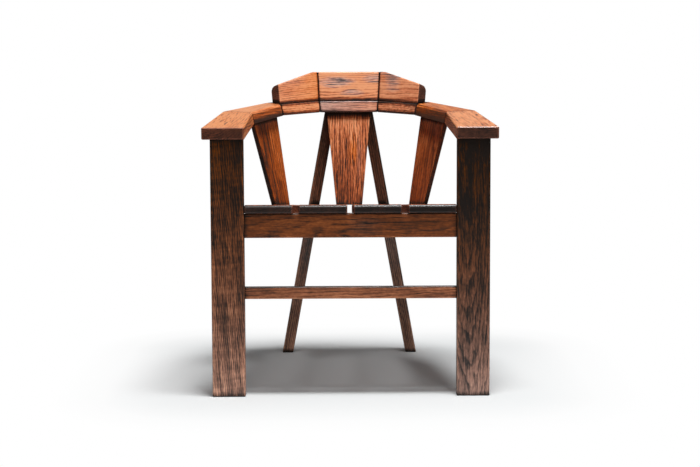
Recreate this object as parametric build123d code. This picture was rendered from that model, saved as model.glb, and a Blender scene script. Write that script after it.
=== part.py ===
from build123d import *
import os
from math import cos, radians, sin

# An armchair of sawn oak boards. Two wide front legs and two leaning rear legs carry a
# many-sided arm bow, which climbs to the rear and holds three tapered splats and a raised crest.
# Lengths are millimetres and angles are degrees. X is to the right, Y to the rear and Z up.
# While it is drawn, the chair's Y starts at the front faces of the front legs.

# Front legs, front rail and stretcher
clear_width = 494.0
front_leg_width = 77.0
front_leg_thickness = 30.0
front_rail_setback = 6.0
front_rail_thickness = 22.0
front_rail_height = 57.5
stretcher_setback = 6.0
stretcher_thickness = 18.0
stretcher_height = 28.0
stretcher_bottom = 230.0

# Arm bow: the inner edges, walked from an arm end to the rear, and the mitres between the runs
arm_underside = 602.0
arm_overhang = 4.0
arm_inset = 2.0
bow_climb_angle = 5.3
bow_thickness = 28.0
arm_run = 261.0
arm_run_angle = 1.7
side_run = 162.0
side_run_angle = 23.9
rear_run = 113.0
rear_run_angle = 59.0
arm_end_width = 98.0
arm_end_angle = 0.0
side_mitre_width = 75.0
side_mitre_angle = 15.0
rear_mitre_width = 51.0
rear_mitre_angle = 45.0
back_mitre_width = 46.5
back_mitre_angle = 75.0

# How far the foot of the inner faces stands inside their top edge, along the mitres
side_mitre_lean = 5.0
rear_mitre_lean = 8.2

# Crest blocks on the rear of the bow
crest_thickness = 28.0
crest_setback = 3.0
crest_height = 75.5
crest_end_height = 51.0
crest_shoulder = 16.0
crest_lean_angle = 10.5

# Splats
splat_thickness = 13.0
splat_top_width = 112.0
splat_bottom_width = 66.0
splat_lean_angle = 13.0
middle_splat_setback = 6.0
side_splat_setback = 13.5
side_splat_shift = 20.0
side_splat_angle = 60.0

# Seat boards and the rails under them
seat_height = 451.0
seat_tilt_angle = 5.5
seat_board_thickness = 20.5
seat_front_setback = 1.5
seat_side_clearance = 0.5
seat_rear_clearance = 0.5
seat_rear_width = 404.0
seat_board_gap = 14.6
side_rail_inset = 14.0
side_rail_thickness = 20.0
side_rail_height = 46.0
rear_rail_inset = 8.0
rear_rail_thickness = 22.0
rear_rail_height = 48.0

# Rear legs
rear_leg_width = 28.0
rear_foot_outer = 178.0
rear_top_outer = 61.0
rear_foot_front = 586.0
rear_foot_depth = 58.0
rear_top_depth = 25.0
rear_top_clearance = 0.3

# Joinery
joint_clearance = 0.1
leg_tenon_width = 50.0
leg_tenon_thickness = 12.0
leg_tenon_length = 16.0
rail_tenon_thickness = 10.0
rail_tenon_shoulder = 9.0
rail_tenon_length = 26.0
stretcher_tenon_thickness = 8.0
stretcher_tenon_shoulder = 6.0
stub_tenon_thickness = 8.0
stub_tenon_length = 7.0
rear_leg_tenon_width = 13.0
rear_leg_tenon_length = 12.0
splat_tongue_thickness = 6.0
splat_tongue_shoulder = 9.0
splat_tongue_length = 8.0
split_tongue_margin = 4.0
crest_tongue_thickness = 9.0
crest_tongue_shoulder = 14.0
crest_tongue_length = 8.0
loose_tongue_thickness = 6.0
loose_tongue_shoulder = 9.0
loose_tongue_length = 12.0
seat_tongue_width = 28.0
seat_tongue_length = 8.0
rear_rail_tongue_width = 30.0
rear_rail_tongue_length = 14.0

# Worn roundings, and the small bevel of sawn ends that shows as a groove at the mitres
end_bevel = 1.8
bow_round = 3.0
arm_arris = 2.5
side_run_arris = 5.0
leg_round = 3.0
rail_round = 2.5
splat_round = 2.0
board_bevel = 1.6
board_nose_top = 9.0
board_nose_bottom = 6.0
crest_round = 3.0
crest_back_round = 14.0
crest_shoulder_round = 40.0
crest_foot_bevel = 1.8

near = 0.01

up = Vector(0, 0, 1)
rightward = Vector(1, 0, 0)
rearward = Vector(0, 1, 0)


def level(z):
    """The level plane at a height."""
    return Plane(origin=(0, 0, z), z_dir=up)


def across(x):
    """The upright plane at a place across the chair."""
    return Plane(origin=(x, 0, 0), z_dir=rightward)


def deep(y):
    """The upright plane at a depth of the chair."""
    return Plane(origin=(0, y, 0), z_dir=rearward)


def plane_through(start, end, along):
    """The plane that holds a line and runs along a direction."""
    return Plane(origin=start, z_dir=(end - start).cross(along))


def flipped(plane):
    """The plane at the same place on the other side of the chair."""
    place, facing = plane.origin, plane.z_dir
    return Plane(origin=(-place.X, place.Y, place.Z), z_dir=(-facing.X, facing.Y, facing.Z))


def corner(first, second, third):
    """The point where three planes meet."""
    a, b, c = first.z_dir, second.z_dir, third.z_dir
    from_first = b.cross(c) * first.origin.dot(a)
    from_second = c.cross(a) * second.origin.dot(b)
    from_third = a.cross(b) * third.origin.dot(c)
    return (from_first + from_second + from_third) / a.dot(b.cross(c))


def corners(around, end):
    """The four corners that a ring of four planes cuts on an end plane."""
    return [corner(here, there, end) for here, there in zip(around, around[1:] + around[:1])]


def middle(points):
    """The middle of some points."""
    return sum(points, Vector(0, 0, 0)) / len(points)


def flat(outline):
    """The flat face inside an outline."""
    return Face(Wire.make_polygon(outline, close=True))


def sawn(around, bottom, top):
    """A sawn board: the solid between a ring of four planes and two ends."""
    low = corners(around, bottom)
    high = corners(around, top)
    outlines = [low, high]
    for here in range(len(around)):
        there = (here + 1) % len(around)
        outlines.append([low[here], low[there], high[there], high[here]])
    return Solid(Shell([flat(outline) for outline in outlines]))


def lies_in(edge, plane):
    """Whether both ends of an edge lie in a plane."""
    return all(abs((end - plane.origin).dot(plane.z_dir)) < near for end in (edge @ 0, edge @ 1))


def edges_between(piece, first, second):
    """The edges of a piece that lie in two planes."""
    return [edge for edge in piece.edges() if lies_in(edge, first) and lies_in(edge, second)]


def ease(piece, sides, radius, crisp=(), larger=(), bevelled=()):
    """A piece with the edges between its sides rounded, but for those in its crisp planes.

    Pairs of planes with a larger radius of their own are rounded first, and bevelled ends last.
    """
    for first, second, wide in larger:
        piece = fillet(edges_between(piece, first, second), wide)
    sharp = [edge for edge in piece.edges() if sum(lies_in(edge, side) for side in sides) > 1]
    spared = [*crisp, *bevelled]
    piece = fillet([edge for edge in sharp if not any(lies_in(edge, side) for side in spared)], radius)
    for end in bevelled:
        piece = chamfer([edge for edge in piece.edges() if lies_in(edge, end)], end_bevel)
    return piece


def eased(around, bottom, top, radius, **edges):
    """A sawn board with its edges rounded."""
    return ease(sawn(around, bottom, top), [*around, bottom, top], radius, **edges)


def tongue(frame, width, length, thickness, slack=0.0):
    """A block across a joint: width along x, length into each side along y, thickness along z."""
    return frame * Box(width + slack, 2 * (length + slack), thickness + slack)


def mirrored(piece):
    """The same piece on the other side of the chair."""
    return mirror(piece, about=Plane.YZ)


def both_sides(pieces):
    """Some pieces of the right side with their twins on the left."""
    return [*pieces, *(mirrored(piece) for piece in pieces)]


# The planes that the whole chair is set out from

floor = level(0)
leg_inner = clear_width / 2
leg_outer = leg_inner + front_leg_width
bow_under = Plane(
    origin=(0, -arm_overhang, arm_underside),
    x_dir=rightward,
    z_dir=(0, -sin(radians(bow_climb_angle)), cos(radians(bow_climb_angle))),
)
bow_top = bow_under.offset(bow_thickness)
seat_top = Plane(
    origin=(0, 0, seat_height),
    x_dir=rightward,
    z_dir=(0, sin(radians(seat_tilt_angle)), cos(radians(seat_tilt_angle))),
)
seat_under = seat_top.offset(-seat_board_thickness)


# The right half of the bow, drawn flat in its own slanted frame


def walk(start, length, angle):
    """The end of a run that turns inwards from straight back."""
    return start + Vector(-sin(radians(angle)), cos(radians(angle))) * length


def outwards(start, width, angle):
    """The outer end of a mitre that starts at an inner corner."""
    return start + Vector(cos(radians(angle)), sin(radians(angle))) * width


def bow_point(place, z=0.0):
    """A place of the flat drawing, at a height above the bow's underside."""
    return bow_under.from_local_coords(Vector(place.X, place.Y, z))


def bow_wall(start, end):
    """The plane through two places of the bow, square to its faces."""
    return plane_through(bow_point(start), bow_point(end), bow_under.z_dir)


inner = [Vector(leg_inner - arm_inset, 0)]
for run, angle in ((arm_run, arm_run_angle), (side_run, side_run_angle), (rear_run, rear_run_angle)):
    inner.append(walk(inner[-1], run, angle))
mitre_widths = (arm_end_width, side_mitre_width, rear_mitre_width, back_mitre_width)
mitre_angles = (arm_end_angle, side_mitre_angle, rear_mitre_angle, back_mitre_angle)
mitre_leans = (0, side_mitre_lean, rear_mitre_lean)
outer = [outwards(*mitre) for mitre in zip(inner, mitre_widths, mitre_angles)]
feet = [outwards(place, -lean, angle) for place, lean, angle in zip(inner, mitre_leans, mitre_angles)]
mitres = [bow_wall(*ends) for ends in zip(inner, outer)]
inner_walls = [bow_wall(*ends) for ends in zip(inner, inner[1:])]
outer_walls = [bow_wall(*ends) for ends in zip(outer, outer[1:])]
back_inner = Plane(origin=bow_point(inner[-1]), z_dir=bow_under.y_dir)
back_outer = Plane(origin=bow_point(outer[-1]), z_dir=bow_under.y_dir)
rear_way = inner_walls[-1].z_dir.cross(bow_top.z_dir)
rear_face = plane_through(bow_point(feet[-1]), bow_point(inner[-2], bow_thickness), rear_way)
back_foot = corner(rear_face, bow_under, mitres[-1])
back_face = plane_through(back_foot, bow_point(inner[-1], bow_thickness), rightward)


def bow_tongue(number, slack=0.0):
    """The loose tongue of a mitre, or its slots when it has slack."""
    start, end = inner[number], outer[number]
    heart = bow_point((start + end) / 2, bow_thickness / 2)
    frame = Plane(origin=heart, x_dir=bow_point(end) - bow_point(start), z_dir=bow_under.z_dir)
    width = mitre_widths[number] - 2 * loose_tongue_shoulder
    return tongue(frame, width, loose_tongue_length, loose_tongue_thickness, slack)


def wound(number):
    """The block of a run, whose inner face winds from the lean of one mitre to that of the next."""
    low = [bow_point(place) for place in (feet[number], feet[number + 1], outer[number + 1], outer[number])]
    tops = (inner[number], inner[number + 1], outer[number + 1], outer[number])
    high = [bow_point(place, bow_thickness) for place in tops]
    faces = [flat(low), flat(high)]
    for here, there in ((1, 2), (2, 3), (3, 0)):
        faces.append(flat([low[here], low[there], high[there], high[here]]))
    faces.append(Face.make_surface_from_curves(Edge.make_line(*low[:2]), Edge.make_line(*high[:2])))
    return Solid(Shell(faces))


def winding_run(number, arris):
    """A run whose inner face winds, with its upper arris bevelled and the outer edges rounded.

    Runs are counted from the arm to the rear.
    """
    piece = wound(number)
    piece = chamfer(edges_between(piece, inner_walls[number], bow_top), arris)
    ends = [mitres[number + 1], mitres[number]]
    return ease(piece, [outer_walls[number], bow_under, bow_top], bow_round, bevelled=ends)


def straight_run(face, back, ends):
    """A run with a flat leaning inner face."""
    return eased([face, ends[0], back, ends[1]], bow_under, bow_top, bow_round, bevelled=ends)


# The crest: each block leans outwards over its own run, and the mitres follow the slant


def crest_rise(wall):
    """The way that a block rises over a wall of the bow: outwards from upright."""
    out = Vector(wall.z_dir.X, wall.z_dir.Y, 0).normalized()
    return up * cos(radians(crest_lean_angle)) + out * sin(radians(crest_lean_angle))


def crest_face(wall):
    """The front of a crest block over an inner wall of the bow."""
    foot = wall.offset(crest_setback)
    start = corner(foot, bow_top, across(0))
    along = foot.z_dir.cross(bow_top.z_dir)
    return plane_through(start, start + crest_rise(wall), along)


middle_rise = crest_rise(back_inner)
middle_face = crest_face(back_inner)
middle_back = middle_face.offset(crest_thickness)
side_rise = crest_rise(inner_walls[-1])
side_face = crest_face(inner_walls[-1])
side_back = side_face.offset(crest_thickness)
mitre_slant = middle_face.z_dir.cross(side_face.z_dir)
crest_mitre = plane_through(
    corner(middle_face, side_face, bow_top), corner(middle_back, side_back, bow_top), mitre_slant
)
crest_foot = corner(side_face, bow_top, mitres[-2])
crest_end = plane_through(crest_foot, corner(side_back, bow_top, mitres[-2]), side_rise)
middle_top = Plane(
    origin=corner(middle_face, bow_top, across(0)) + middle_rise * crest_height, z_dir=middle_rise
)
high_front = corner(middle_face, side_face, middle_top)
high_back = corner(middle_back, side_back, middle_top)
side_run_way = side_face.z_dir.cross(up).normalized()
side_top = plane_through(high_front, high_back, side_run_way)
shoulder = high_front + side_run_way * crest_shoulder
side_slope = plane_through(
    shoulder, shoulder + high_back - high_front, crest_foot + side_rise * crest_end_height - shoulder
)
middle_block = [middle_face, crest_mitre, middle_back, flipped(crest_mitre)]
side_block = [side_face, crest_mitre, side_back, crest_end]


def crest_foot_tongue(block, slack=0.0):
    """The tongue under a crest block, which runs along the bow."""
    feet = corners(block, bow_top)
    along = feet[0] - feet[3]
    length = min(along.length, (feet[1] - feet[2]).length)
    frame = Plane(origin=middle(feet), x_dir=along, z_dir=along.cross(bow_top.z_dir))
    width = length - 2 * crest_tongue_shoulder
    return tongue(frame, width, crest_tongue_length, crest_tongue_thickness, slack)


def crest_tongue(slack=0.0):
    """The loose tongue of a crest mitre, or its slots when it has slack."""
    heart = middle(corners([middle_face, middle_top, middle_back, bow_top], crest_mitre))
    frame = Plane(origin=heart, x_dir=mitre_slant, z_dir=mitre_slant.cross(crest_mitre.z_dir))
    width = crest_height - 2 * crest_tongue_shoulder
    return tongue(frame, width, loose_tongue_length, loose_tongue_thickness, slack)


def crest_block(block, tops, grooved):
    """A crest block with well worn top edges and its tongue below.

    A block with a second top falls away from its level shoulder to its end.
    """
    piece = sawn(block, bow_top, tops[0])
    for slope in tops[1:]:
        piece = split(piece, bisect_by=slope, keep=Keep.TOP)
    worn = [(*tops, crest_shoulder_round)] if tops[1:] else []
    worn.append((block[2], tops[0], crest_back_round))
    sides = [*block, bow_top, *tops]
    piece = ease(piece, sides, crest_round, crisp=[bow_top], larger=worn, bevelled=grooved)
    piece = chamfer(edges_between(piece, block[0], bow_top), crest_foot_bevel)
    return piece + crest_foot_tongue(block)


# Splats: each stands on the seat, leans outwards and is cut to the slant of the bow above it


def splat_frame(place, angle):
    """The frame of a splat's inner face: its origin at the bow, x along it and y up it."""
    out = Vector(sin(radians(angle)), cos(radians(angle)), 0)
    along = Vector(cos(radians(angle)), -sin(radians(angle)), 0)
    rise = up * cos(radians(splat_lean_angle)) + out * sin(radians(splat_lean_angle))
    return Plane(origin=bow_point(place), x_dir=along, z_dir=along.cross(rise))


def splat_sides(frame):
    """The four long planes of a splat, tapered from the bow down to the seat."""
    foot = corner(frame, seat_top, Plane(origin=frame.origin, z_dir=frame.x_dir))
    edges = []
    for hand in (1, -1):
        low = foot + frame.x_dir * hand * splat_bottom_width / 2
        high = frame.origin + frame.x_dir * hand * splat_top_width / 2
        edges.append(plane_through(low, high, frame.z_dir))
    return [frame, edges[0], frame.offset(-splat_thickness), edges[1]]


def splat_tongue(frame, end, width, shift=0.0, slack=0.0):
    """A tongue at the top or foot of a splat."""
    heart = middle(corners(splat_sides(frame), end)) + frame.x_dir * shift
    place = Plane(origin=heart, x_dir=frame.x_dir, z_dir=frame.z_dir)
    return tongue(place, width, splat_tongue_length, splat_tongue_thickness, slack)


def top_tongue(frame, slack=0.0):
    """The tongue that holds a splat in the bow."""
    return splat_tongue(frame, bow_under, splat_top_width - 2 * splat_tongue_shoulder, slack=slack)


def foot_tongue(frame, slack=0.0):
    """The tongue that holds a side splat in its seat board."""
    return splat_tongue(frame, seat_top, splat_bottom_width - 2 * splat_tongue_shoulder, slack=slack)


def split_tongue(slack=0.0):
    """The right one of the middle splat's two foot tongues, clear of the gap between the boards."""
    start = seat_board_gap / 2 + split_tongue_margin
    width = splat_bottom_width / 2 - splat_tongue_shoulder - start
    return splat_tongue(middle_splat, seat_top, width, start + width / 2, slack)


def splat(frame, tongues):
    """A splat with its tongues."""
    piece = eased(splat_sides(frame), seat_top, bow_under, splat_round, crisp=[seat_top, bow_under])
    for stub in tongues:
        piece += stub
    return piece


middle_splat = splat_frame(Vector(0, inner[-1].Y + middle_splat_setback), 0)
side_place = walk((inner[1] + inner[2]) / 2, side_splat_shift, side_run_angle)
side_place = outwards(side_place, side_splat_setback, side_run_angle)
side_splat = splat_frame(side_place, side_splat_angle)


# Rear legs: planes of the right one, which leans in and forward to stand under the bow

splat_back = middle_splat.offset(-splat_thickness)
leg_head = corner(splat_back, bow_under, across(0)) + rearward * rear_top_clearance
leg_heel = leg_head + bow_under.y_dir * rear_top_depth
leg_front = plane_through(Vector(0, rear_foot_front, 0), leg_head, rightward)
leg_back = plane_through(Vector(0, rear_foot_front + rear_foot_depth, 0), leg_heel, rightward)
leg_outside = plane_through(Vector(rear_foot_outer, 0, 0), Vector(rear_top_outer, 0, leg_head.Z), rearward)
leg_inside = leg_outside.offset(rear_leg_width)
leg_heart = leg_outside.offset(rear_leg_width / 2)
rear_leg_sides = [leg_front, leg_outside, leg_back, leg_inside]


def rear_leg_tenon(slack=0.0):
    """The tenon at the head of the right rear leg."""
    axis = leg_outside.z_dir.cross(leg_front.z_dir)
    frame = Plane(
        origin=middle(corners(rear_leg_sides, bow_under)),
        x_dir=axis.cross(leg_outside.z_dir),
        z_dir=leg_outside.z_dir,
    )
    return tongue(frame, rear_leg_tenon_width, rear_leg_tenon_length, rear_leg_tenon_width, slack)


# The seat, drawn flat in its own slanted frame


def seat_point(x, y):
    """A place on the top of the seat."""
    return seat_top.from_local_coords(Vector(x, y, 0))


def seat_depth(point):
    """How far back a point lies along the seat."""
    return seat_top.to_local_coords(point).Y


seat_length = seat_depth(corner(seat_top, leg_front, across(0))) - seat_rear_clearance
seat_front_width = clear_width - 2 * seat_side_clearance
board_names = ("inner_seat_board", "outer_seat_board")
seat_boards = 2 * len(board_names)
front_board = (seat_front_width - (seat_boards - 1) * seat_board_gap) / seat_boards
rear_board = (seat_rear_width - (seat_boards - 1) * seat_board_gap) / seat_boards


def tapered_wall(front_x, rear_x):
    """The plane that runs back along the seat from one distance off the middle to another."""
    return plane_through(seat_point(front_x, 0), seat_point(rear_x, seat_length), seat_top.z_dir)


def seat_board_edges(number, side):
    """How far a side of a seat board lies off the middle, at the front and at the rear."""
    front_x = number * (front_board + seat_board_gap) + seat_board_gap / 2 + side * front_board
    rear_x = number * (rear_board + seat_board_gap) + seat_board_gap / 2 + side * rear_board
    return front_x, rear_x


def seat_board(number):
    """A board of the right half of the seat, with its worn front end, counted from the middle."""
    inside = tapered_wall(*seat_board_edges(number, 0))
    outside = tapered_wall(*seat_board_edges(number, 1))
    nose = Plane(origin=seat_point(0, seat_front_setback), z_dir=seat_top.y_dir)
    tail = Plane(origin=seat_point(0, seat_length), z_dir=seat_top.y_dir)
    piece = sawn([nose, outside, tail, inside], seat_under, seat_top)
    piece = fillet(edges_between(piece, nose, seat_top), board_nose_top)
    piece = fillet(edges_between(piece, nose, seat_under), board_nose_bottom)
    for side in (inside, outside):
        piece = chamfer([edge for edge in piece.edges() if lies_in(edge, side)], board_bevel)
    return piece


# Rails and stretcher

rail_front = deep(front_rail_setback)
rail_back = rail_front.offset(front_rail_thickness)
front_rail_bottom = seat_height - seat_board_thickness - front_rail_height
front_rail_sides = [rail_front, seat_under, rail_back, level(front_rail_bottom)]
stretcher_front = deep(stretcher_setback)
stretcher_sides = [
    stretcher_front,
    level(stretcher_bottom + stretcher_height),
    stretcher_front.offset(stretcher_thickness),
    level(stretcher_bottom),
]
rear_rail_front = leg_front.offset(-rear_rail_thickness)
rear_rail_bottom = seat_under.offset(-rear_rail_height)
rear_rail_sides = [rear_rail_front, seat_under, leg_front, rear_rail_bottom]
rear_rail_half = seat_rear_width / 2 - rear_rail_inset
side_outside = tapered_wall(seat_front_width / 2 - side_rail_inset, seat_rear_width / 2 - side_rail_inset)
side_inside = side_outside.offset(-side_rail_thickness)
side_rail_sides = [side_outside, seat_under, side_inside, seat_under.offset(-side_rail_height)]


def end_tenon(sides, end, high, along, size, slack=0.0):
    """A tenon at the end of a rail, with its width up the rail: size is width, length, thickness."""
    frame = Plane(origin=middle(corners(sides, end)), x_dir=high, z_dir=high.cross(along))
    return tongue(frame, *size, slack)


def front_rail_tenon(slack=0.0):
    """The tenon of the front rail in the right front leg."""
    height = 2 * (middle(corners(front_rail_sides, across(0))).Z - front_rail_bottom)
    size = (height - 2 * rail_tenon_shoulder, rail_tenon_length, rail_tenon_thickness)
    return end_tenon(front_rail_sides, across(leg_inner), up, rightward, size, slack)


def stretcher_tenon(slack=0.0):
    """The tenon of the stretcher in the right front leg."""
    width = stretcher_height - 2 * stretcher_tenon_shoulder
    size = (width, rail_tenon_length, stretcher_tenon_thickness)
    return end_tenon(stretcher_sides, across(leg_inner), up, rightward, size, slack)


def side_rail_tenon(end, slack=0.0):
    """A stub tenon of the right side rail."""
    along = side_outside.z_dir.cross(seat_top.z_dir)
    size = (side_rail_height - 2 * rail_tenon_shoulder, stub_tenon_length, stub_tenon_thickness)
    return end_tenon(side_rail_sides, end, seat_top.z_dir, along, size, slack)


# Front legs

front_leg_sides = [deep(0), across(leg_outer), deep(front_leg_thickness), across(leg_inner)]


def leg_tenon(slack=0.0):
    """The tenon at the head of the right front leg."""
    heart = middle(corners(front_leg_sides, bow_under))
    frame = Plane(origin=heart, x_dir=rightward, z_dir=-rearward)
    return tongue(frame, leg_tenon_width, leg_tenon_length, leg_tenon_thickness, slack)


# Loose tongues of the seat


def seat_tongues(number, slack=0.0):
    """The loose tongues that hold a seat board of the right half on the front and rear rails."""
    tongues = []
    for rail in (front_rail_sides, rear_rail_sides):
        depth = seat_depth(middle([corner(face, seat_under, across(0)) for face in (rail[0], rail[2])]))
        share = depth / seat_length
        front, rear = [sum(pair) / 2 for pair in zip(*(seat_board_edges(number, side) for side in (0, 1)))]
        place = seat_point(front + (rear - front) * share, depth) - seat_top.z_dir * seat_board_thickness
        frame = Plane(origin=place, x_dir=rightward, z_dir=seat_top.y_dir)
        tongues.append(tongue(frame, seat_tongue_width, seat_tongue_length, loose_tongue_thickness, slack))
    return tongues


def rear_rail_tongue(slack=0.0):
    """The loose tongue from the rear rail into the right rear leg."""
    heart = corner(leg_heart, leg_front, seat_under.offset(-rear_rail_height / 2))
    axis = leg_outside.z_dir.cross(leg_front.z_dir)
    frame = Plane(origin=heart, x_dir=axis, z_dir=axis.cross(leg_front.z_dir))
    return tongue(frame, rear_rail_tongue_width, rear_rail_tongue_length, loose_tongue_thickness, slack)


# Fitting the pieces together


def without(piece, tools):
    """A piece with its mortises and slots cut."""
    for tool in tools:
        piece -= tool
    return piece


slack = joint_clearance
front_leg = eased(front_leg_sides, floor, bow_under, leg_round, crisp=[bow_under], bevelled=[floor])
front_leg = without(front_leg + leg_tenon(), [front_rail_tenon(slack), stretcher_tenon(slack)])

rear_leg = eased(rear_leg_sides, floor, bow_under, leg_round, crisp=[bow_under], bevelled=[floor])
rear_leg = without(rear_leg + rear_leg_tenon(), [rear_rail_tongue(slack)])

bow_slots = [bow_tongue(number, slack) for number in range(1, len(inner))]
arm = without(winding_run(0, arm_arris), [bow_slots[0], leg_tenon(slack)])
bow_side = without(winding_run(1, side_run_arris), [*bow_slots[:2], top_tongue(side_splat, slack)])
bow_rear = straight_run(rear_face, outer_walls[-1], mitres[2:])
bow_rear = without(bow_rear, [*bow_slots[1:], crest_foot_tongue(side_block, slack)])
bow_back = straight_run(back_face, back_outer, [mitres[-1], flipped(mitres[-1])])
bow_back = without(bow_back, [crest_foot_tongue(middle_block, slack), top_tongue(middle_splat, slack)])
bow_back = without(bow_back, both_sides([bow_slots[-1], rear_leg_tenon(slack)]))

crest_side = crest_block(side_block, [side_top, side_slope], [crest_mitre])
crest_side = without(crest_side, [crest_tongue(slack)])
crest_middle = crest_block(middle_block, [middle_top], [crest_mitre, flipped(crest_mitre)])
crest_middle = without(crest_middle, both_sides([crest_tongue(slack)]))

splat_side = splat(side_splat, [top_tongue(side_splat), foot_tongue(side_splat)])
splat_middle = splat(middle_splat, [top_tongue(middle_splat), *both_sides([split_tongue()])])

splat_feet = (split_tongue(slack), foot_tongue(side_splat, slack))
seat = []
for number, foot in enumerate(splat_feet):
    seat.append(without(seat_board(number), [foot, *seat_tongues(number, slack)]))

seat_slots = both_sides([*seat_tongues(0, slack), *seat_tongues(1, slack)])
ends = [across(-leg_inner), across(leg_inner)]
front_rail = eased(front_rail_sides, *ends, rail_round, crisp=ends)
for tenon in both_sides([front_rail_tenon()]):
    front_rail += tenon
front_rail = without(front_rail, [*both_sides([side_rail_tenon(rail_back, slack)]), *seat_slots])

stretcher = eased(stretcher_sides, *ends, rail_round, crisp=ends)
for tenon in both_sides([stretcher_tenon()]):
    stretcher += tenon

rear_ends = [across(-rear_rail_half), across(rear_rail_half)]
rear_rail = eased(rear_rail_sides, *rear_ends, rail_round, bevelled=rear_ends)
rear_rail_slots = both_sides([side_rail_tenon(rear_rail_front, slack), rear_rail_tongue(slack)])
rear_rail = without(rear_rail, [*rear_rail_slots, *seat_slots])

side_ends = [rail_back, rear_rail_front]
side_rail = eased(side_rail_sides, *side_ends, rail_round, crisp=side_ends)
for end in side_ends:
    side_rail += side_rail_tenon(end)

pairs = {
    "front_leg": front_leg,
    "rear_leg": rear_leg,
    "arm": arm,
    "bow_side": bow_side,
    "bow_rear": bow_rear,
    "crest": crest_side,
    "splat": splat_side,
    "seat_rail": side_rail,
    **dict(zip(board_names, seat)),
}
nodes = {
    "bow_back": bow_back,
    "middle_crest": crest_middle,
    "middle_splat": splat_middle,
    "front_seat_rail": front_rail,
    "rear_seat_rail": rear_rail,
    "front_stretcher": stretcher,
}
for name, piece in pairs.items():
    nodes["right_" + name] = piece
    nodes["left_" + name] = mirrored(piece)
groups = {
    "bow_tongues": [bow_tongue(number) for number in range(1, len(inner))],
    "crest_tongues": [crest_tongue()],
    "rear_rail_tongues": [rear_rail_tongue()],
    "seat_tongues": [*seat_tongues(0), *seat_tongues(1)],
}
for name, loose in groups.items():
    nodes[name] = Compound(children=[piece.solid() for piece in both_sides(loose)])

# The chair stands with the middle of its footprint at the origin
front_reach = bow_point(inner[0], bow_thickness).Y
centring = -(front_reach + rear_foot_front + rear_foot_depth) / 2

os.makedirs("parts", exist_ok=True)
for name, piece in nodes.items():
    export_step(Pos(0, centring, 0) * piece, "parts/" + name + ".step")
    print(name, round(piece.volume))
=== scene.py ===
# %% [markdown]
# # An armchair of stained oak boards
#
# The chair is sawn from thick oak boards: two wide front legs carry an arm bow of seven mitred
# runs, three blocks crown its rear, and tapered splats stand between the bow and a board seat.
# The solids are already exact, so this lesson is about what wood looks like. We load the solids,
# set up the camera and the light of a small photo studio, and then grow an oak log in shader
# nodes, so that every board shows the grain it would really have.

import math
from types import SimpleNamespace

import bmesh
import bpy
import numpy as np
from mathutils import Matrix, Vector

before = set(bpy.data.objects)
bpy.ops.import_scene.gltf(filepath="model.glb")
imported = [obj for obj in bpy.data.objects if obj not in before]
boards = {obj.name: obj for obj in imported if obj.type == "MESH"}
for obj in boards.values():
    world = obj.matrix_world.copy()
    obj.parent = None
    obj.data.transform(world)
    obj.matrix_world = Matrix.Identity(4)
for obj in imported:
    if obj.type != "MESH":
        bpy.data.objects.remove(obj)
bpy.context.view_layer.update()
print("boards and tongues:", len(boards))

# %% [markdown]
# ## The camera
#
# The reference view is nearly square to the front and a little above the arms. A long lens from
# over four metres away keeps the front legs almost parallel. The direction is built from three
# plain turns: about the vertical, then down, then a slight tilt of the picture itself. Three
# matrices in a row say this more clearly than a single set of Euler angles.

# %% Camera at the reference viewpoint
camera_place = Vector((-0.0322, -4.4186, 0.8361))
heading = math.radians(-0.43)
look_down = math.radians(6.30)
picture_tilt = math.radians(-0.22)
focal_length, sensor_width = 91.584, 36.0

camera_data = bpy.data.cameras.new("viewpoint")
camera_data.lens = focal_length
camera_data.sensor_width = sensor_width
camera = bpy.data.objects.new("viewpoint", camera_data)
bpy.context.scene.collection.objects.link(camera)
turns = (
    Matrix.Rotation(heading, 4, "Z")
    @ Matrix.Rotation(math.pi / 2 - look_down, 4, "X")
    @ Matrix.Rotation(picture_tilt, 4, "Z")
)
camera.matrix_world = Matrix.Translation(camera_place) @ turns
bpy.context.scene.camera = camera
print("camera", [round(value, 3) for value in camera.location], "lens", camera_data.lens)

# %% [markdown]
# ## Node helpers
#
# A wood pattern is mostly arithmetic: distances, stripes and thresholds. These helpers add one
# node each and return its output, so that the recipe further down reads like a formula. A value
# may be a plain number or the output of another node.

# %% Helpers for arithmetic
def feed(tree, socket, value):
    """Joins a node's output to the socket, or sets the socket to a plain value."""
    if isinstance(value, bpy.types.NodeSocket):
        tree.links.new(value, socket)
    else:
        socket.default_value = value


def work_out(tree, operation, first, second=0.0, third=0.0, clamp=False):
    """A Math node and its result."""
    node = tree.nodes.new("ShaderNodeMath")
    node.operation = operation
    node.use_clamp = clamp
    for socket, value in zip(node.inputs, (first, second, third)):
        feed(tree, socket, value)
    return node.outputs[0]


def add_up(tree, *terms):
    """The sum of plain numbers, outputs, and pairs of an output and how much of it to take."""
    total = 0.0
    for term in terms:
        value, share = term if isinstance(term, tuple) else (term, 1.0)
        total = work_out(tree, "MULTIPLY_ADD", value, share, total)
    return total


def vector_sum(tree, operation, first, second=None):
    """A Vector Math node; its number is read where the result is a number, as for a length."""
    node = tree.nodes.new("ShaderNodeVectorMath")
    node.operation = operation
    feed(tree, node.inputs[0], first)
    if second is not None:
        feed(tree, node.inputs[1], second)
    return node.outputs["Value" if operation in ("LENGTH", "DOT_PRODUCT") else "Vector"]


print("arithmetic helpers ready")

# %% Helpers for places, noises and colours
def mapped(tree, vector, rotation=(0, 0, 0), location=(0, 0, 0), scale=(1, 1, 1)):
    """A Mapping node: first the scale, then the turn, then the shift."""
    node = tree.nodes.new("ShaderNodeMapping")
    feed(tree, node.inputs["Vector"], vector)
    node.inputs["Rotation"].default_value = rotation
    node.inputs["Location"].default_value = location
    node.inputs["Scale"].default_value = scale
    return node.outputs[0]


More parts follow.
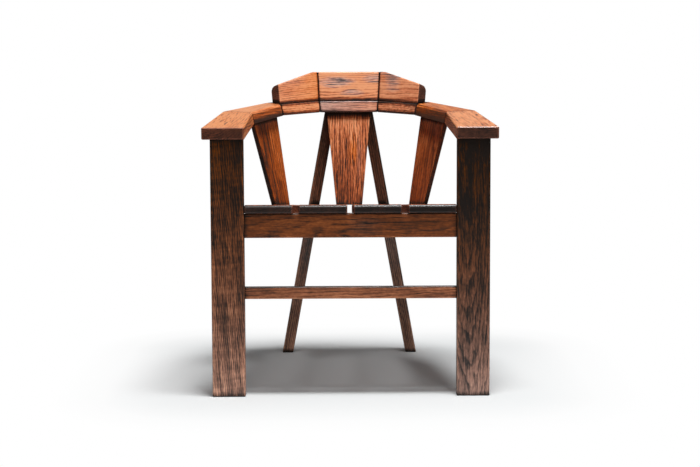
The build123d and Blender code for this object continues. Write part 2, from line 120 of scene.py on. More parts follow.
def noise(tree, vector, detail, roughness=0.5):
    """A Noise Texture of scale 1, with a result from 0 to 1 and mostly near one half."""
    node = tree.nodes.new("ShaderNodeTexNoise")
    feed(tree, node.inputs["Vector"], vector)
    node.inputs["Scale"].default_value = 1.0
    node.inputs["Detail"].default_value = detail
    node.inputs["Roughness"].default_value = roughness
    return node.outputs["Fac"]


def ramp(tree, value, stops):
    """A Color Ramp: stops are pairs of place and colour, or place and grey."""
    node = tree.nodes.new("ShaderNodeValToRGB")
    feed(tree, node.inputs[0], value)
    elements = node.color_ramp.elements
    while len(elements) < len(stops):
        elements.new(0.5)
    for element, (place, colour) in zip(elements, stops):
        element.position = place
        element.color = (*(colour if isinstance(colour, tuple) else 3 * (colour,)), 1.0)
    return node.outputs[0]


print("pattern helpers ready")

# %% [markdown]
# ## The floor
#
# The chair stands on a seamless white floor. The floor is a real surface, so it bounces light up
# onto the legs and takes the soft shadow under the seat. For the camera alone, the shader adds a
# little glow, and outside the chair's footprint it turns into plain white, so that the floor
# melts into the background without more light on the chair. The paper is only a few metres wide,
# so for every other ray the floor darkens further out, and most of the light that it sends back
# reaches the feet.

# %% Floor sheet
floor_reach = 9.0

floor_mesh = bpy.data.meshes.new("floor")
sheet = bmesh.new()
bmesh.ops.create_grid(sheet, x_segments=1, y_segments=1, size=floor_reach)
sheet.to_mesh(floor_mesh)
sheet.free()
floor = bpy.data.objects.new("floor", floor_mesh)
bpy.context.scene.collection.objects.link(floor)
print("floor", 2 * floor_reach, "m wide")

# %% Helpers for shaders
def painted(tree, colour):
    """A matt shader of one colour."""
    matt = tree.nodes.new("ShaderNodeBsdfDiffuse")
    feed(tree, matt.inputs["Color"], colour)
    return matt.outputs[0]


def mixed(tree, share, under, over):
    """A Mix Shader: share 0 gives under, share 1 gives over."""
    node = tree.nodes.new("ShaderNodeMixShader")
    for socket, value in zip(node.inputs, (share, under, over)):
        feed(tree, socket, value)
    return node.outputs[0]


print("shader helpers ready")

# %% Floor paint
footprint_half = (0.30, 0.31, 0.0)
white_reach, paper_reach = 0.40, 1.3
floor_glow = 0.02
paper_white = (0.835, 0.86, 0.866, 1.0)
white_stops = ((0.0, 0.0), (0.35, 0.42), (0.7, 0.88), (1.0, 1.0))
paper_stops = ((0.0, 0.80), (0.3, 0.55), (1.0, 0.10))

floor_paint = bpy.data.materials.new("studio_floor")
floor_paint.use_nodes = True
tree = floor_paint.node_tree
tree.nodes.clear()
point = tree.nodes.new("ShaderNodeTexCoord").outputs["Object"]
point = vector_sum(tree, "SUBTRACT", vector_sum(tree, "ABSOLUTE", point), footprint_half)
beyond = vector_sum(tree, "LENGTH", vector_sum(tree, "MAXIMUM", point, (0.0, 0.0, 0.0)))
away = ramp(tree, work_out(tree, "DIVIDE", beyond, white_reach, clamp=True), white_stops)
paper_edge = work_out(tree, "DIVIDE", beyond, paper_reach, clamp=True)

glow = tree.nodes.new("ShaderNodeEmission")
glow.inputs["Strength"].default_value = floor_glow
lit = tree.nodes.new("ShaderNodeAddShader")
feed(tree, lit.inputs[0], painted(tree, paper_white))
feed(tree, lit.inputs[1], glow.outputs[0])
plain_white = tree.nodes.new("ShaderNodeEmission").outputs[0]
for_camera = mixed(tree, away, lit.outputs[0], plain_white)
for_light = painted(tree, ramp(tree, paper_edge, paper_stops))
rays = tree.nodes.new("ShaderNodeLightPath")
out = tree.nodes.new("ShaderNodeOutputMaterial")
surface = mixed(tree, rays.outputs["Is Camera Ray"], for_light, for_camera)
feed(tree, out.inputs["Surface"], surface)
floor_mesh.materials.append(floor_paint)
print("floor is plain white from", white_reach, "m outside the feet")

# %% [markdown]
# ## Light
#
# In the reference the tops of the arms are bright, the fronts of the legs are dark above and
# lighter near the floor, and the shadow lies right under the seat. So the main light hangs
# overhead, a little to the right. A weaker lamp in front lifts the fronts of the boards. The
# reference shows no sheen there, so this lamp is hidden from glossy rays, and the lacquer doesn't
# mirror it.

# %% Lamps
softbox_width, softbox_depth = 1.0, 0.7
overhead_place, overhead_power = (0.34, -0.75, 3.3), 98.0
fill_place, fill_power = (1.3, -4.9, 1.3), 56.0


def softbox(name, place, target, power, mirrored=True):
    """A rectangular lamp that looks at its target; mirrored says whether the lacquer shows it."""
    lamp = bpy.data.lights.new(name, "AREA")
    lamp.shape = "RECTANGLE"
    lamp.size = softbox_width
    lamp.size_y = softbox_depth
    lamp.energy = power
    holder = bpy.data.objects.new(name, lamp)
    holder.location = place
    holder.rotation_euler = (Vector(target) - Vector(place)).to_track_quat("-Z", "Y").to_euler()
    holder.visible_glossy = mirrored
    bpy.context.scene.collection.objects.link(holder)


softbox("overhead", overhead_place, (0.0, -0.10, 0.0), overhead_power)
softbox("front_fill", fill_place, (0.0, 0.0, 0.3), fill_power, mirrored=False)

# %% [markdown]
# ## The room
#
# The world stands for the rest of the studio: a pale wall behind the chair, which gives the
# lacquer its sheen at grazing angles, and a dim room in front. The direction of a ray tells the
# two apart. Only the camera sees the world as plain white.

# %% World
room_dim, wall_bright = 0.035, 0.24
wall_stops = ((0.0, 0.0), (0.35, 0.25), (0.9, 1.0))

world = bpy.data.worlds.new("studio")
world.use_nodes = True
tree = world.node_tree
tree.nodes.clear()
direction = tree.nodes.new("ShaderNodeTexCoord").outputs["Generated"]
parts = tree.nodes.new("ShaderNodeSeparateXYZ")
feed(tree, parts.inputs[0], direction)
wall_share = ramp(tree, parts.outputs["Y"], wall_stops)
brightness = work_out(tree, "MULTIPLY_ADD", wall_share, wall_bright - room_dim, room_dim)


def backdrop(tree, strength):
    """A Background shader in neutral white."""
    node = tree.nodes.new("ShaderNodeBackground")
    node.inputs["Color"].default_value = (1.0, 1.0, 1.0, 1.0)
    feed(tree, node.inputs["Strength"], strength)
    return node.outputs[0]


rays = tree.nodes.new("ShaderNodeLightPath")
out = tree.nodes.new("ShaderNodeOutputWorld")
around = backdrop(tree, brightness), backdrop(tree, 1.0)
feed(tree, out.inputs["Surface"], mixed(tree, rays.outputs["Is Camera Ray"], *around))
bpy.context.scene.world = world
bpy.context.scene.view_settings.view_transform = "Standard"
print("the room shines from", room_dim, "in front to", wall_bright, "behind the chair")

# %% [markdown]
# ## Which way the grain runs
#
# A sawyer cuts a board along the log, so the grain follows the board's length wherever the board
# points in the finished chair. We read the length, width and thickness of each board from its
# own mesh: the directions in which its surface spreads most, less and least. Each triangle
# counts by its area, so that a finely rounded edge weighs no more than it should, and with its
# corners as well as its middle, or the diagonals of the mesh would tilt the result.

# %% Length, width and thickness of a board
def board_axes(board):
    """The middle of a board and its length, width and thickness directions as rows."""
    corners = np.array([corner.co for corner in board.data.vertices])
    board.data.calc_loop_triangles()
    triangles = corners[[triangle.vertices[:] for triangle in board.data.loop_triangles]]
    areas = np.array([triangle.area for triangle in board.data.loop_triangles])
    middle = (triangles.mean(1) * areas[:, None]).sum(0) / areas.sum()
    triangles -= middle
    points = np.concatenate((triangles, 3.0 * triangles.mean(1, keepdims=True)), axis=1)
    spread = np.einsum("t,tpi,tpj->ij", areas, points, points)
    rows = np.linalg.eigh(spread)[1].T[::-1]
    for row in rows[:2]:
        row *= 1.0 if row[np.argmax(np.abs(row))] > 0 else -1.0
    rows[2] = np.cross(rows[0], rows[1])
    return middle, rows


for name in ("left_arm", "middle_splat"):
    print(name, "runs along", board_axes(boards[name])[1][0].round(3).tolist())

# %% [markdown]
# ## A board in its log
#
# Oak shows growth rings, and rings are circles round the heart of the log. An image would have to
# be fitted to every face of every board. A solid pattern doesn't: one Mapping node turns the
# board flat, a second one places it in the log, some way off the heart and a little out of line
# with it, and each face then cuts the rings as a saw would, straight on one face and in flames
# on the next. Two noises let the rings wander and ripple as real ones do.

# %% A board turned flat
def laid_flat(tree, board, middle, rows):
    """Texture coordinates, the same with X along the grain, and how far along a point lies."""
    turn = Matrix(rows.tolist())
    spot = tree.nodes.new("ShaderNodeTexCoord")
    square = mapped(tree, spot.outputs["Object"], turn.to_euler(), -(turn @ Vector(middle)))
    reach = max(abs((corner.co - Vector(middle)).dot(rows[0])) for corner in board.data.vertices)
    along = tree.nodes.new("ShaderNodeSeparateXYZ")
    feed(tree, along.inputs[0], square)
    along = work_out(tree, "MULTIPLY_ADD", along.outputs[0], 0.5 / reach, 0.5, clamp=True)
    return spot, square, along


print("boards can be turned flat")

# %% Noises of the log
grain_noises = {
    # repeats in a metre along the grain, and across it; detail; roughness
    "wander": (2.0, 9.0, 3.0, 0.5),
    "ripple": (26.0, 90.0, 2.0, 0.5),
    "vessels": (45.0, 1500.0, 1.0, 0.5),
    "fibres": (16.0, 420.0, 2.0, 0.6),
    "bands": (3.0, 75.0, 3.0, 0.6),
    "clouds": (5.0, 24.0, 4.0, 0.6),
    "specks": (120.0, 270.0, 1.0, 0.5),
    "curls": (100.0, 14.0, 1.0, 0.5),
}


def grain_noise(tree, log, name):
    """A noise that is stretched along the grain, as its row above says."""
    along, across, detail, roughness = grain_noises[name]
    return noise(tree, mapped(tree, log, scale=(along, across, across)), detail, roughness)


print("noises:", ", ".join(grain_noises))

# %% Rings of the log
ring_wander = 0.030
year_stops = ((0.0, 1.0), (0.12, 0.85), (0.32, 0.2), (0.88, 0.0), (1.0, 0.9))


def ring_pattern(tree, log, ring_width, ring_ripple):
    """How porous the rings are, from 0 in the late wood of a year to 1 in its early wood."""
    wander = grain_noise(tree, log, "wander")
    ripple = grain_noise(tree, log, "ripple")
    radius = vector_sum(tree, "LENGTH", mapped(tree, log, scale=(0.0, 1.0, 1.0)))
    radius = add_up(tree, radius, (wander, ring_wander), (ripple, ring_ripple))
    year = work_out(tree, "FRACT", work_out(tree, "DIVIDE", radius, ring_width))
    return ramp(tree, year, year_stops)


print("a year is dense until", year_stops[-2][0], "of its width")

# %% [markdown]
# ## What the grain is made of
#
# Up close oak isn't only rings. Open vessels are cut lengthwise into thin dark dashes, which lie
# densest in the early wood. Broad bands and clouds come from the tree's years, fine lines from its
# fibres, short specks from its rays, and a cross figure from fibres that grew in waves. Each is one
# noise with its own stretch, so one log serves them all.

# %% Grain of a board
vessel_stops = ((0.50, 0.0), (0.62, 1.0))
dash_stops = ((0.48, 0.0), (0.64, 1.0))
vessel_base, dash_base = 0.30, 0.45
patch_contrast, patch_start = 3.0, -0.9


def board_grain(tree, log, ring_width, ring_ripple):
    """All patterns of one board, each from 0 to 1."""
    early = ring_pattern(tree, log, ring_width, ring_ripple)
    vessels = ramp(tree, grain_noise(tree, log, "vessels"), vessel_stops)
    fibre = grain_noise(tree, log, "fibres")
    dashes = ramp(tree, fibre, dash_stops)
    cloud = grain_noise(tree, log, "clouds")
    patchy = work_out(tree, "MULTIPLY_ADD", cloud, patch_contrast, patch_start, clamp=True)
    in_rings = add_up(tree, vessel_base, (early, 1.0 - vessel_base))
    in_lines = add_up(tree, dash_base, (early, 1.0 - dash_base))
    return SimpleNamespace(
        early=early,
        cloud=cloud,
        fibre=fibre,
        dashes=dashes,
        band=grain_noise(tree, log, "bands"),
        speck=grain_noise(tree, log, "specks"),
        curl=grain_noise(tree, log, "curls"),
        porous=work_out(tree, "MULTIPLY", vessels, in_rings),
        dashed=work_out(tree, "MULTIPLY", dashes, in_lines),
        flames=work_out(tree, "MULTIPLY", early, patchy),
    )


print("a vessel shows where its noise passes", vessel_stops[0][0])

# %% [markdown]
# ## Where a board takes more stain, or loses it
#
# Stain doesn't only follow the grain. Sawn ends drink most, and hands wear the stain off tops. The
# grooves between the pieces and the places under other pieces are darkened, partly for dirt and
# partly as painted shade, and the edges are lightened, partly for wear and partly as a painted
# highlight. Every such place is a mask from 0 to 1. The direction of the surface tells ends, sides
# and tops. Ambient Occlusion finds the grooves and the shaded places. A Bevel node rounds the edges
# for the light, and where its normal departs from the flat one, there is an edge. All of them work
# on the finished mesh, so nothing has to be painted by hand.

# %% Masks of a board
up = (0.0, 0.0, 1.0)
# how far the darkening reaches out of a groove or from a piece above: dirt and painted shade
dirt_and_shade_reach = 0.014
edge_softness = 0.0035
end_stops = ((0.42, 0.0), (0.62, 1.0))
side_stops = ((0.50, 0.0), (0.80, 1.0))
top_stops = ((0.50, 0.0), (0.95, 1.0))
groove_stops = ((0.55, 1.0), (0.80, 0.35), (0.95, 0.0))
wear_and_highlight_stops = ((0.92, 1.0), (0.99, 0.0))


def facing(tree, normal, direction, stops, both_ways=True):
    """How far the surface faces a direction, through a ramp."""
    share = vector_sum(tree, "DOT_PRODUCT", normal, direction)
    if both_ways:
        share = work_out(tree, "ABSOLUTE", share)
    return ramp(tree, share, stops)


def board_masks(tree, normal, rows):
    """The masks of one board, and the normal with softened edges."""
    # Ambient Occlusion darkens grooves and places under other pieces: partly dirt, partly painted
    # shade
    corner = tree.nodes.new("ShaderNodeAmbientOcclusion")
    corner.samples = 8
    corner.inputs["Distance"].default_value = dirt_and_shade_reach
    groove = ramp(tree, corner.outputs["AO"], groove_stops)
    # the Bevel normal finds the edges, which are lightened for wear and as a painted highlight
    soft = tree.nodes.new("ShaderNodeBevel")
    soft.samples = 4
    soft.inputs["Radius"].default_value = edge_softness
    flat = tree.nodes.new("ShaderNodeNewGeometry").outputs["Normal"]
    wear_and_highlight = facing(tree, flat, soft.outputs[0], wear_and_highlight_stops, both_ways=False)
    clean = work_out(tree, "SUBTRACT", 1.0, groove, clamp=True)
    return SimpleNamespace(
        ends=facing(tree, normal, rows[0].tolist(), end_stops),
        sides=facing(tree, normal, rows[1].tolist(), side_stops),
        upward=facing(tree, normal, up, top_stops, both_ways=False),
        groove=groove,
        wear_and_highlight=work_out(tree, "MULTIPLY", wear_and_highlight, clean),
        soft=soft.outputs[0],
    )


print("dirt creeps", 1000 * dirt_and_shade_reach, "mm out of a groove")

# %% [markdown]
# ## Smudges and dark rims
#
# Old iron marks and tannin leave smoky patches in oak. A smudge is an oval round a chosen spot,
# frayed by the same noises that make the bands, so it follows the grain. Where two pieces meet at a
# mitre or under the crest, stain has run and dried into a dark rim. Other rims are painted shade:
# along the undersides of the bow, on the splats under it, and on the stretcher under the seat. A
# rim follows a whole edge, so we take its distance from the plane of a flat. That plane is read
# from the mesh, so a rim stays right if the part changes.

# %% Smudges
smudge_stops = ((0.2, 1.0), (1.0, 0.0))
band_fray, cloud_fray = 1.6, 1.2
solid_share, dashed_share = 0.35, 1.1


def smudged(tree, square, grain, smudges):
    """What smudges add: each is given along and across the board, with its reaches and depth."""
    total = 0.0
    for along, across, half_length, half_width, strength in smudges:
        shift = (-along / half_length, -across / half_width, 0.0)
        oval = mapped(tree, square, location=shift, scale=(1 / half_length, 1 / half_width, 0.0))
        oval = vector_sum(tree, "LENGTH", oval)
        even = 0.5 * (band_fray + cloud_fray)
        oval = add_up(tree, oval, (grain.band, -band_fray), (grain.cloud, -cloud_fray), even)
        dashes = add_up(tree, solid_share, (grain.dashes, dashed_share))
        oval = work_out(tree, "MULTIPLY", ramp(tree, oval, smudge_stops), dashes)
        total = work_out(tree, "MULTIPLY_ADD", oval, strength, total)
    return total


print("a smudge is full inside", smudge_stops[0][0], "of its oval")

# %% Dark rims
down = (0.0, 0.0, -1.0)
faces_it = 0.7
rim_stops = ((0.0, 1.0), (0.45, 0.75), (1.0, 0.0))
mitre_rim_reach = 0.0042


def face_plane(board, direction):
    """The widest flat of a board that faces a direction: its normal and its level along it."""
    board.data.calc_loop_triangles()
    flats = {}
    for triangle in board.data.loop_triangles:
        if triangle.normal.dot(direction) > faces_it:
            level = triangle.normal.dot(triangle.center)
            flats.setdefault((*triangle.normal.to_tuple(2), round(level, 3)), []).append(triangle)
    widest = max(flats.values(), key=lambda flat: sum(triangle.area for triangle in flat))
    return widest[0].normal.copy(), widest[0].normal.dot(widest[0].center)


# rims are dark joints at mitres and under the crest, and painted shade along undersides and under
# other pieces
def rimmed(tree, point, rims):
    """Pairs of a rim and its depth, from a board, a direction, the rim's reach and its depth."""
    pairs = []
    for owner, direction, reach, strength in rims:
        normal, level = face_plane(boards[owner], Vector(direction))
        gap = work_out(tree, "SUBTRACT", vector_sum(tree, "DOT_PRODUCT", point, normal), level)
        gap = work_out(tree, "DIVIDE", work_out(tree, "ABSOLUTE", gap), reach)
        pairs.append((ramp(tree, gap, rim_stops), strength))
    return pairs


print("underside of the bow's back:", face_plane(boards["bow_back"], Vector(down))[0])

# %% [markdown]
# ## Lacquer
#
# The lacquer is the coat of the Principled shader over the stained wood. It is thin, so the pores
# dent it and make it a little duller. End grain and grooves soaked it up, and they have lost most
# of their shine, but for the ends that hands have polished. What is the same all over a board is
# set on the shader's own socket.

# %% Stained wood under lacquer
coat_share, coat_lost = 0.38, 0.30
specular_level, specular_lost = 0.50, 0.36
coat_roughness = 0.16
wood_roughness = 0.30
pore_rough, cloud_rough, dull_rough = 0.22, 0.16, 0.22
relief_strength, relief_height = 0.5, 0.0004


def lacquered(tree, colour, grain, masks, polish):
    """Feeds the Principled shader; polish is how much of their lacquer the ends keep."""
    shader = tree.nodes["Principled BSDF"]
    feed(tree, shader.inputs["Base Color"], colour)
    dull = work_out(tree, "MULTIPLY", masks.ends, 1.0 - polish)
    dull = work_out(tree, "MAXIMUM", dull, masks.groove)
    rough = add_up(
        tree,
        wood_roughness,
        (grain.porous, pore_rough),
        (grain.cloud, cloud_rough),
        (dull, dull_rough),
    )
    feed(tree, shader.inputs["Roughness"], rough)
    coat = work_out(tree, "MULTIPLY_ADD", dull, -coat_lost, coat_share)
    feed(tree, shader.inputs["Coat Weight"], coat)
    specular = work_out(tree, "MULTIPLY_ADD", dull, -specular_lost, specular_level)
    feed(tree, shader.inputs["Specular IOR Level"], specular)
    shader.inputs["Coat Roughness"].default_value = coat_roughness
    relief = tree.nodes.new("ShaderNodeBump")
    relief.inputs["Strength"].default_value = relief_strength
    relief.inputs["Distance"].default_value = relief_height
    height = add_up(
        tree,
        (grain.porous, -0.5),
        (grain.dashed, -0.4),
        (grain.early, -0.15),
        (grain.cloud, 1.5),
        (grain.curl, 0.5),
    )
    feed(tree, relief.inputs["Height"], height)
    feed(tree, relief.inputs["Normal"], masks.soft)
    feed(tree, shader.inputs["Normal"], relief.outputs[0])


print("coat", coat_share, "on faces and", round(coat_share - coat_lost, 2), "in grooves")

# %% [markdown]
# ## One stain for every board
#
# One stain covers the whole chair, and it is thin and orange where the wood took little of it and
# almost black where the wood drank it. So we don't mix colours, we add up how much stain a point
# holds, and a single Color Ramp turns that depth into a colour. Each board has its own mean depth,
# its own place in a log and its own strength of every pattern, and may fade towards one end.

# %% Colours of the stain
stain_colours = (
    (0.00, (0.92, 0.39, 0.18)),
    (0.20, (0.75, 0.235, 0.090)),
    (0.40, (0.48, 0.118, 0.036)),
    (0.60, (0.24, 0.055, 0.017)),
    (0.80, (0.085, 0.027, 0.012)),
    (1.00, (0.016, 0.010, 0.008)),
)


def stained(tree, depth, greyness, hue):
    """The colour at a depth of stain, with some of it taken away, and turned towards yellow."""
    grey = tree.nodes.new("ShaderNodeHueSaturation")
    feed(tree, grey.inputs["Color"], ramp(tree, depth, stain_colours))
    grey.inputs["Hue"].default_value = 0.5 + hue
    kept = work_out(tree, "MAXIMUM", work_out(tree, "SUBTRACT", 1.0, greyness), 0.0)
    feed(tree, grey.inputs["Saturation"], kept)
    return grey.outputs[0]


print("stain depths run from", stain_colours[0][0], "to", stain_colours[-1][0])

# %% Weights of the patterns
early_share, flame_share, figure_mean = 0.45, 1.1, 0.36
dash_share = 1.6


def weighed(tree, grain, figure, streaks, clouds, pores, mottle, curly, fibres):
    """The patterns of a board, weighed and added up round a mean of nearly 0."""
    return add_up(
        tree,
        -figure_mean * figure - streaks - clouds - 0.5 * (mottle + curly + fibres),
        (grain.early, early_share * figure),
        (grain.flames, flame_share * figure),
        (grain.band, 2.0 * streaks),
        (grain.cloud, 2.0 * clouds),
        (grain.speck, mottle),
        (grain.curl, curly),
        (grain.fibre, fibres),
        (grain.porous, pores),
        (grain.dashed, dash_share * pores),
    )


print("flames move the depth", round(flame_share / early_share, 1), "times as far as plain rings")

# %% Oak
# the rings, bands and specks lie round 0, but pores only add, so their mean comes off
pore_mean = 0.04
# grooves darken for dirt and painted shade, and edges lighten for wear and as a painted highlight
groove_dirt_and_shade, edge_wear_and_highlight = 0.60, -0.38
# end grain shows little of the pattern, and worn tops show more of the fine lines
end_calm, top_lines = 0.6, 3.6
smudge_grey, end_grey = 1.2, 0.18


def oak(name, depth, place, lean=(0.0, 0.03, 0.01), rings=0.0048, wavy=0.0036, figure=0.26,
        streaks=0.30, clouds=0.26, pores=0.18, mottle=0.32, curly=0.10, fibres=0.0, thirst=0.30,
        flanks=0.0, handled=0.0, polish=0.0, fade=(0.0, 0.0), ash=(0.0, 0.0), hue=0.0, smoke=(),
        rims=(), mitred=0.0, beside=None):
    """Finishes one board in oak.

    In the log: place is where the board's middle lies, along the log, across it and outwards from
    its heart. lean is how the board is turned in it, rings the width of a year, and wavy how far
    the years ripple. beside names a board whose grain direction this one shares.

    Depth of the stain: depth is its mean. figure, streaks, clouds, pores, mottle, curly and fibres
    say how far the rings, bands, clouds, pores, specks, cross figure and fine lines move it. thirst
    is what ends drink on top, flanks is painted shade on the narrow sides, and handled what hands
    wore off the top. fade adds a depth at either end of the board. smoke lists smudges and rims
    lists dark rims, as above: dark joints, and painted shade along undersides and under other
    pieces. mitred is the depth of a rim at both ends.

    Colour and gloss: ash takes colour away at either end, hue turns it towards yellow, and polish
    is how much lacquer the ends keep.
    """
    board = boards[name]
    middle, rows = board_axes(board)
    if beside:
        rows = board_axes(boards[beside])[1]
    finish = bpy.data.materials.new(name + "_oak")
    finish.use_nodes = True
    tree = finish.node_tree
    spot, square, along = laid_flat(tree, board, middle, rows)
    grain = board_grain(tree, mapped(tree, square, lean, place), rings, wavy)
    masks = board_masks(tree, spot.outputs["Normal"], rows)

    pattern = weighed(tree, grain, figure, streaks, clouds, pores, mottle, curly, fibres)
    calmer = work_out(tree, "MULTIPLY_ADD", masks.ends, -end_calm, 1.0)
    lines = work_out(tree, "MULTIPLY", work_out(tree, "SUBTRACT", grain.fibre, 0.5), masks.upward)
    smudge = smudged(tree, square, grain, smoke)
    if mitred:
        rims += tuple((name, side * rows[0], mitre_rim_reach, mitred) for side in (-1.0, 1.0))
    stain = add_up(
        tree,
        depth - pore_mean,
        work_out(tree, "MULTIPLY", pattern, calmer),
        (lines, top_lines * handled),
        (masks.ends, thirst),
        (masks.upward, -handled),
        # dirt and painted shade in grooves and under other pieces
        (masks.groove, groove_dirt_and_shade),
        # painted shade on the narrow sides
        (masks.sides, flanks),
        # edges lightened for wear and as a painted highlight
        (masks.wear_and_highlight, edge_wear_and_highlight),
        fade[0],
        (along, fade[1] - fade[0]),
        smudge,
        *rimmed(tree, spot.outputs["Object"], rims),
    )

    ashes = add_up(
        tree, ash[0], (along, ash[1] - ash[0]), (smudge, smudge_grey), (masks.ends, end_grey)
    )
    lacquered(tree, stained(tree, stain, ashes, hue), grain, masks, polish)
    board.data.materials.clear()
    board.data.materials.append(finish)


print("oak recipe ready")

# %% [markdown]
# ## Front legs
#
# The front legs are the widest boards that show. The left one was cut well off the heart of its
# log and leans in it, so fine lines cross it at a slant, and a cross figure ripples them. The right
# one was cut near the heart, so dark flames stand in it. Both get paler towards the floor, and
# greyer there, partly as a painted reflection of the floor.

# %% Front legs
# the grey at the foot end (ash) is partly a painted reflection of the floor
oak("left_front_leg", 0.67, (0.3, 0.085, 0.050), lean=(0.0, 0.035, 0.08), rings=0.0044, wavy=0.006,
    figure=0.28, streaks=0.42, clouds=0.32, curly=0.36, fibres=0.50,
    fade=(-0.23, 0.28), ash=(0.28, -0.10), hue=0.010)
oak("right_front_leg", 0.80, (1.9, 0.016, 0.055), lean=(0.0, 0.055, 0.02), rings=0.0050, wavy=0.006,
    figure=0.18, streaks=0.32, clouds=0.30, fibres=0.34,
    fade=(-0.30, 0.29), ash=(0.38, -0.20), hue=0.010)
print("front legs finished")

# %% [markdown]
# ## Stretcher and rear legs
#
# These are slender, so little of their figure shows. The stretcher has a dark line along its upper
# edge, a painted shade under the seat, which is a rim on its own top flat. The rear legs fade
# towards the floor as the front ones do, and are a little grey over their whole length.

# %% Stretcher and rear legs
# the rim on the stretcher's top flat is painted shade under the seat
oak("front_stretcher", 0.50, (3.3, 0.040, 0.060), rings=0.0040, figure=0.16, streaks=0.22,
    ash=(0.08, 0.08), hue=0.007, rims=(("front_stretcher", up, 0.0035, 0.50),))
oak("left_rear_leg", 0.68, (4.1, 0.050, 0.060), rings=0.0040,
    fade=(-0.24, 0.24), ash=(0.26, 0.14), hue=0.014)
oak("right_rear_leg", 0.67, (5.7, 0.060, 0.045), rings=0.0040,
    fade=(-0.26, 0.24), ash=(0.26, 0.14), hue=0.014)
print("stretcher and rear legs finished")

# %% [markdown]
# ## The arms
#
# Arms and hands have thinned the stain on top to a clear orange, in which fine dark lines of
# filled pores stand out. The square ends in front are end grain, nearly black, and they are still
# glossy, because hands polish them too.

# %% Arms
oak("left_arm", 0.19, (6.1, 0.05, 0.080), rings=0.0044, figure=0.34, streaks=0.44, clouds=0.30,
    pores=0.36, mottle=0.50, fibres=0.40, thirst=0.54, handled=0.29, polish=0.7, ash=(-0.10, -0.10))
oak("right_arm", 0.22, (7.9, -0.04, 0.075), rings=0.0044, figure=0.34, streaks=0.46, clouds=0.30,
    pores=0.38, mottle=0.50, fibres=0.40, thirst=0.56, handled=0.31, polish=0.7, ash=(-0.05, -0.05))
print("arms finished")

# %% [markdown]
# ## The rest of the bow
#
# The runs of the bow were cut from several planks, so their figure jumps at every mitre. The inner
# face of the right side run is far darker than its twin's, and the right rear run is darker than
# its twin too, partly in the stain and partly as painted shade from the light on the right. A dark
# rim marks each mitre, a rim of painted shade marks the lower edge of each run, and the three rear
# ones have one more dark rim under the crest. The run at the back is the greyest, partly as a
# painted sheen, and dark lines run along it.

# %% Sides, rears and back of the bow
# the down rims under each run are painted shade; the mitre rims and the up rims under the crest are
# dark joints
oak("left_bow_side", 0.37, (8.3, 0.06, 0.060), figure=0.20, streaks=0.28, handled=0.48,
    ash=(-0.05, -0.05), mitred=0.25, rims=(("left_bow_side", down, 0.013, 0.80),))
# the right side run is stained darker partly as painted shade from the light on the right
oak("right_bow_side", 0.76, (9.7, 0.05, 0.070), figure=0.18, streaks=0.26, handled=0.47,
    ash=(-0.10, -0.10), mitred=0.20, rims=(("right_bow_side", down, 0.012, 0.45),))
oak("left_bow_rear", 0.02, (10.1, 0.02, 0.060), figure=0.24, streaks=0.30, mottle=0.60,
    fibres=0.40, mitred=0.60,
    rims=(("left_bow_rear", down, 0.011, 1.05), ("left_bow_rear", up, 0.007, 0.75)))
# the right rear run is stained darker partly as painted shade from the light on the right
oak("right_bow_rear", 0.26, (11.9, 0.03, 0.050), figure=0.24, streaks=0.26, pores=0.34,
    mottle=0.90, fibres=0.50, ash=(0.04, 0.04), mitred=0.50,
    rims=(("right_bow_rear", down, 0.011, 0.70), ("right_bow_rear", up, 0.007, 0.65)))
# the grey of the back run (ash) is partly a painted sheen
oak("bow_back", 0.30, (12.2, 0.04, 0.055), rings=0.0040, figure=0.44, streaks=0.62, pores=0.30,
    ash=(0.40, 0.10), mitred=0.50,
    smoke=((0.055, -0.008, 0.030, 0.010, 0.40), (0.055, 0.008, 0.030, 0.010, 0.40)),
    rims=(("bow_back", down, 0.007, 0.75), ("bow_back", up, 0.006, 0.45)))
print("bow finished")

# %% [markdown]
# ## The crest
#
# Three blocks stand on the rear of the bow. Their faces are wide enough to show smoky patches. The
# side blocks are mitred at their inner end alone, so their rims follow the mitres of the middle
# one, and their outer ends are thirsty end grain. A side block is almost as high as it is long, so
# its mesh doesn't say which way its grain runs. It takes that from the run that it stands on.

# %% Crest blocks
left_mitre = ("middle_crest", (-1.0, 0.0, 0.0), 0.0045, 0.60)
right_mitre = ("middle_crest", (1.0, 0.0, 0.0), 0.0045, 0.60)
oak("left_crest", 0.13, (13.7, 0.03, 0.070), rings=0.0046, figure=0.22, streaks=0.32, clouds=0.26,
    thirst=0.64, ash=(0.05, -0.08), smoke=((-0.02, 0.0, 0.05, 0.012, 0.18),),
    rims=(("left_crest", down, 0.010, 0.80), left_mitre), beside="left_bow_rear")
oak("middle_crest", -0.01, (14.1, 0.05, 0.060), rings=0.0038, figure=0.26, streaks=0.34,
    clouds=0.24, ash=(0.02, 0.02), mitred=0.65, rims=(("middle_crest", down, 0.011, 0.90),),
    smoke=((-0.030, 0.012, 0.050, 0.018, 0.60), (0.065, 0.022, 0.034, 0.012, 0.45),
           (0.010, -0.014, 0.030, 0.009, 0.45)))
oak("right_crest", 0.12, (15.9, -0.04, 0.060), rings=0.0044, figure=0.20, streaks=0.24,
    clouds=0.26, thirst=0.66, ash=(0.04, 0.04),
    smoke=((-0.040, 0.014, 0.030, 0.014, 0.55), (-0.012, -0.006, 0.026, 0.010, 0.50)),
    rims=(("right_crest", down, 0.010, 0.80), right_mitre), beside="right_bow_rear")
print("crest finished")

# %% [markdown]
# ## Splats
#
# The middle splat is coarse oak with wide, rippled rings and long open pores, pale at its head and
# dark at its foot. One of its smudges has a negative depth and is a pale patch. The side splats are
# smoother and take their stain more evenly, so they look deeper and redder. Each has a rim of
# painted shadow close under the bow, and its narrow sides are darkened as painted shade.

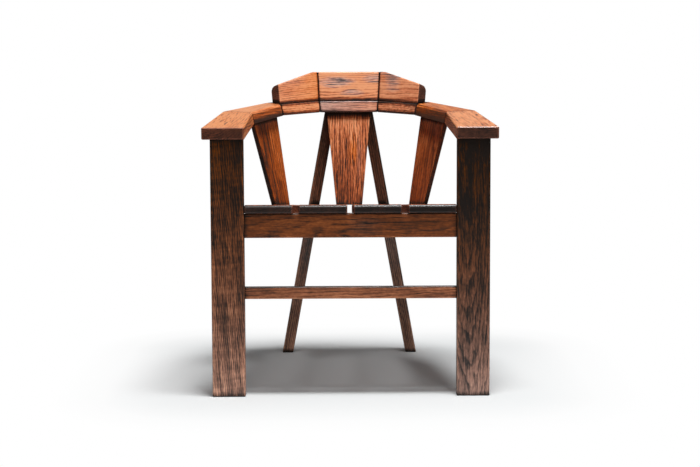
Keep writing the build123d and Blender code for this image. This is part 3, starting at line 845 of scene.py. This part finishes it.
# %% Splats
# each splat's rim under the bow is a painted shadow of the bow, and flanks darken its narrow sides
# as painted shade
oak("middle_splat", 0.16, (16.3, 0.09, 0.030), rings=0.0060, wavy=0.011, figure=0.30, streaks=0.44,
    clouds=0.36, pores=0.40, flanks=0.30, fade=(0.45, -0.17),
    smoke=((0.005, 0.011, 0.050, 0.014, -0.14), (-0.020, 0.026, 0.080, 0.008, 0.16)),
    rims=(("bow_back", down, 0.020, 0.75),))
oak("left_splat", 0.51, (17.1, 0.04, 0.070), figure=0.24, streaks=0.42, clouds=0.48, pores=0.26,
    flanks=0.35, fade=(0.06, -0.04), ash=(-0.06, -0.06),
    rims=(("left_bow_side", down, 0.014, 0.75),))
oak("right_splat", 0.51, (18.9, 0.05, 0.080), figure=0.18, streaks=0.32, clouds=0.36, pores=0.18,
    flanks=0.25, fade=(0.10, -0.16), ash=(-0.04, -0.04),
    rims=(("right_bow_side", down, 0.014, 0.40),))
print("splats finished")

# %% [markdown]
# ## Seat boards and rails
#
# The seat is dark, and its rounded front ends are end grain, which drank so much stain that they
# are nearly black. They keep their lacquer, which draws a thin light line along each rounded edge.
# The front rail under them is a plain warm brown with quiet lines.

# %% Seat and rails
first_plank, plank_step, heart_swing = 20.3, 1.7, 0.03
end_thirst, thirst_step = 0.40, 0.03
for index, name in enumerate(("left_outer", "left_inner", "right_inner", "right_outer")):
    place = (first_plank + plank_step * index, heart_swing * math.cos(2.0 * index), 0.060)
    oak(name + "_seat_board", 0.56, place, thirst=end_thirst + thirst_step * index, polish=0.7)
oak("front_seat_rail", 0.60, (27.1, 0.02, 0.080), rings=0.0050, figure=0.12, streaks=0.16,
    clouds=0.26, hue=0.007, smoke=((0.03, 0.0, 0.05, 0.030, 0.16),))
oak("rear_seat_rail", 0.64, (28.3, 0.04, 0.060))
oak("left_seat_rail", 0.66, (29.9, 0.03, 0.060))
oak("right_seat_rail", 0.66, (30.1, 0.05, 0.060))
print("seat and rails finished")

# %% [markdown]
# ## Loose tongues
#
# Nobody sees the tongues that hold the mitres together, but they come off with the pieces when the
# part is reused. They are plain beech, never stained: pale, close-grained and flecked with short
# brown rays, which a stretched noise with a hard threshold gives.

# %% Bare beech
beech_colours = ((0.2, (0.62, 0.42, 0.26)), (0.6, (0.50, 0.32, 0.18)), (1.0, (0.30, 0.17, 0.09)))
fleck_stops = ((0.58, 0.0), (0.66, 1.0))
cloud_scale, fleck_scale = (40.0, 40.0, 12.0), (900.0, 900.0, 260.0)


def beech(name):
    """Finishes loose tongues in bare beech."""
    finish = bpy.data.materials.new(name + "_beech")
    finish.use_nodes = True
    tree = finish.node_tree
    spot = tree.nodes.new("ShaderNodeTexCoord").outputs["Object"]
    cloud = noise(tree, mapped(tree, spot, scale=cloud_scale), detail=3.0)
    flecks = noise(tree, mapped(tree, spot, scale=fleck_scale), detail=1.0)
    flecks = ramp(tree, flecks, fleck_stops)
    tone = add_up(tree, (cloud, 0.7), (flecks, 0.4))
    shader = tree.nodes["Principled BSDF"]
    feed(tree, shader.inputs["Base Color"], ramp(tree, tone, beech_colours))
    feed(tree, shader.inputs["Roughness"], add_up(tree, 0.55, (flecks, 0.15)))
    board = boards[name]
    board.data.materials.clear()
    board.data.materials.append(finish)


tongues = [name for name in boards if name.endswith("_tongues")]
for name in tongues:
    beech(name)
print("bare beech on", sorted(tongues))
